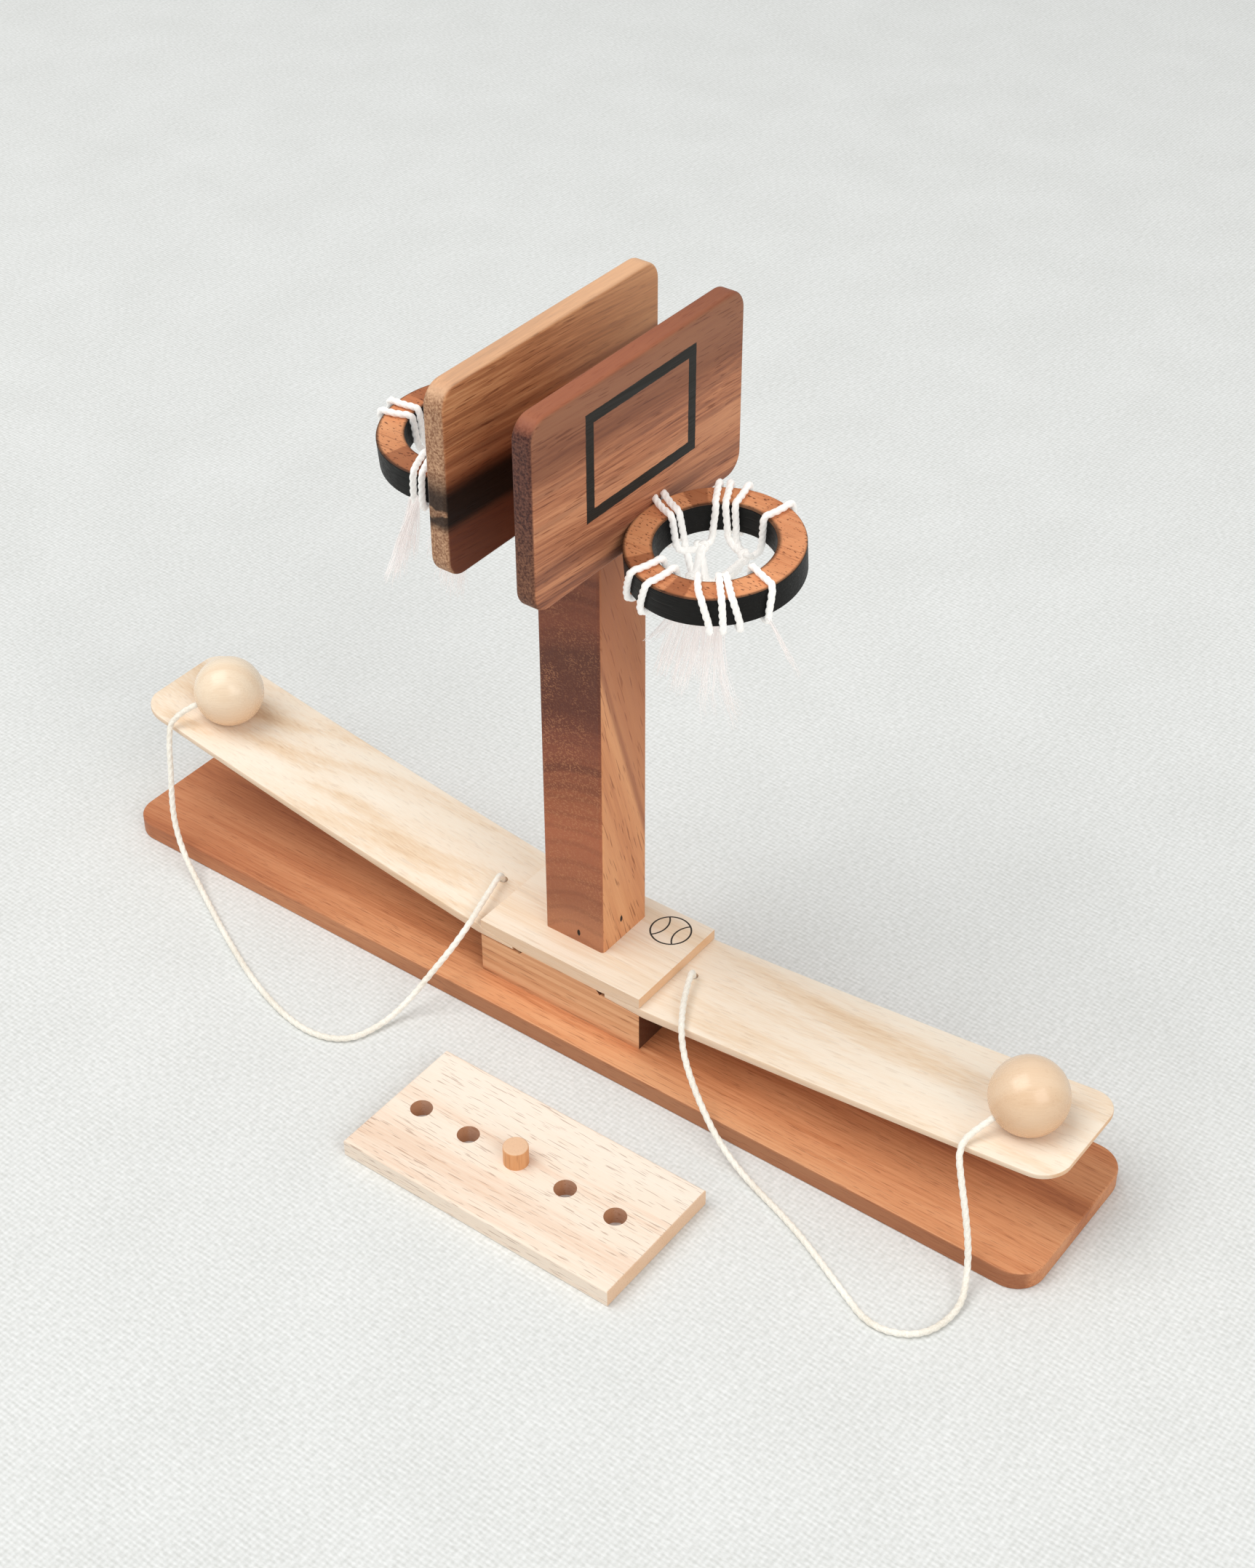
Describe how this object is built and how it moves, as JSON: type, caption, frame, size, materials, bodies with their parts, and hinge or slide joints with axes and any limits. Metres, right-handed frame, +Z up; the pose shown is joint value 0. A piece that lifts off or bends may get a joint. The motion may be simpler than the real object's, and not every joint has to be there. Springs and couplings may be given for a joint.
{
  "type": "tabletop basketball flick game",
  "caption": "Wooden two-player tabletop game: a springy strip on each side flicks a corded ball at a hoop on a central post, with a loose score plate and peg.",
  "frame": {"origin": "middle of the base board's underside, which rests on the table", "axes": "+X along the base board to the right-hand player, +Y away from the score plate, +Z up"},
  "size_m": [0.376, 0.1619, 0.249],
  "materials": {
    "red_wood": "satin, reddish brown with darker streaks",
    "pale_wood": "plain sanded, pale cream with fine grain",
    "dark_wood": "satin, dark brown with black streaks",
    "hoop_wood": "satin top, burnt black walls",
    "ball_wood": "plain sanded",
    "dowel_wood": "plain",
    "peg_wood": "plain, orange tan",
    "screw_steel": "plain steel",
    "cord_cotton": "twisted white cotton",
    "net_cotton": "three-ply white cotton, frayed ends"
  },
  "bodies": {
    "stand": {"base_board": "red_wood", "spacer_block": "red_wood", "cover_plate": "pale_wood", "block_dowels": "dowel_wood", "cover_dowels": "dowel_wood", "springboard_root_right": "pale_wood", "springboard_root_left": "pale_wood", "post": "dark_wood", "post_screw": "screw_steel", "post_nails": "screw_steel", "backboard_right": "dark_wood", "backboard_left": "dark_wood", "backboard_dowels": "dowel_wood", "hoop_dowels": "dowel_wood", "hoop_right": "hoop_wood", "hoop_left": "hoop_wood", "net_loops_right": "net_cotton", "net_loops_left": "net_cotton", "net_tassel_right": "net_cotton", "net_tassel_left": "net_cotton"},
    "springboard_right": {"springboard_right": "pale_wood", "cord_knot_right": "cord_cotton", "cord_right": "cord_cotton"},
    "springboard_left": {"springboard_left": "pale_wood", "cord_knot_left": "cord_cotton", "cord_left": "cord_cotton"},
    "ball_right": {"ball_right": "ball_wood"},
    "ball_left": {"ball_left": "ball_wood"},
    "scoreboard": {"scoreboard": "pale_wood"},
    "score_peg": {"score_peg": "peg_wood"}
  },
  "joints": [
    {"name": "springboard_right_bend", "type": "hinge", "parent": "stand", "child": "springboard_right", "pos_m": [0.0364, 0.001, 0.02345], "axis": [0, 1, 0], "range_deg": [0, 11], "stiffness_Nm_per_rad": 8, "deforming": ["cord_right"]},
    {"name": "springboard_left_bend", "type": "hinge", "parent": "stand", "child": "springboard_left", "pos_m": [-0.032, 0.001, 0.02465], "axis": [0, -1, 0], "range_deg": [0, 14.5], "stiffness_Nm_per_rad": 8, "deforming": ["cord_left"]},
    {"name": "ball_right_lift", "type": "slide", "parent": "springboard_right", "child": "ball_right", "axis": [-0.1197, 0, 0.9928], "range_m": [0, 0.06], "deforming": ["cord_right"]},
    {"name": "ball_left_lift", "type": "slide", "parent": "springboard_left", "child": "ball_left", "axis": [0.1836, 0, 0.983], "range_m": [0, 0.06], "deforming": ["cord_left"]},
    {"name": "scoreboard_lift", "type": "slide", "parent": "stand", "child": "scoreboard", "axis": [0, 0, 1], "range_m": [0, 0.1]},
    {"name": "score_peg_lift", "type": "slide", "parent": "scoreboard", "child": "score_peg", "axis": [0, 0, 1], "range_m": [0, 0.015]}
  ]
}
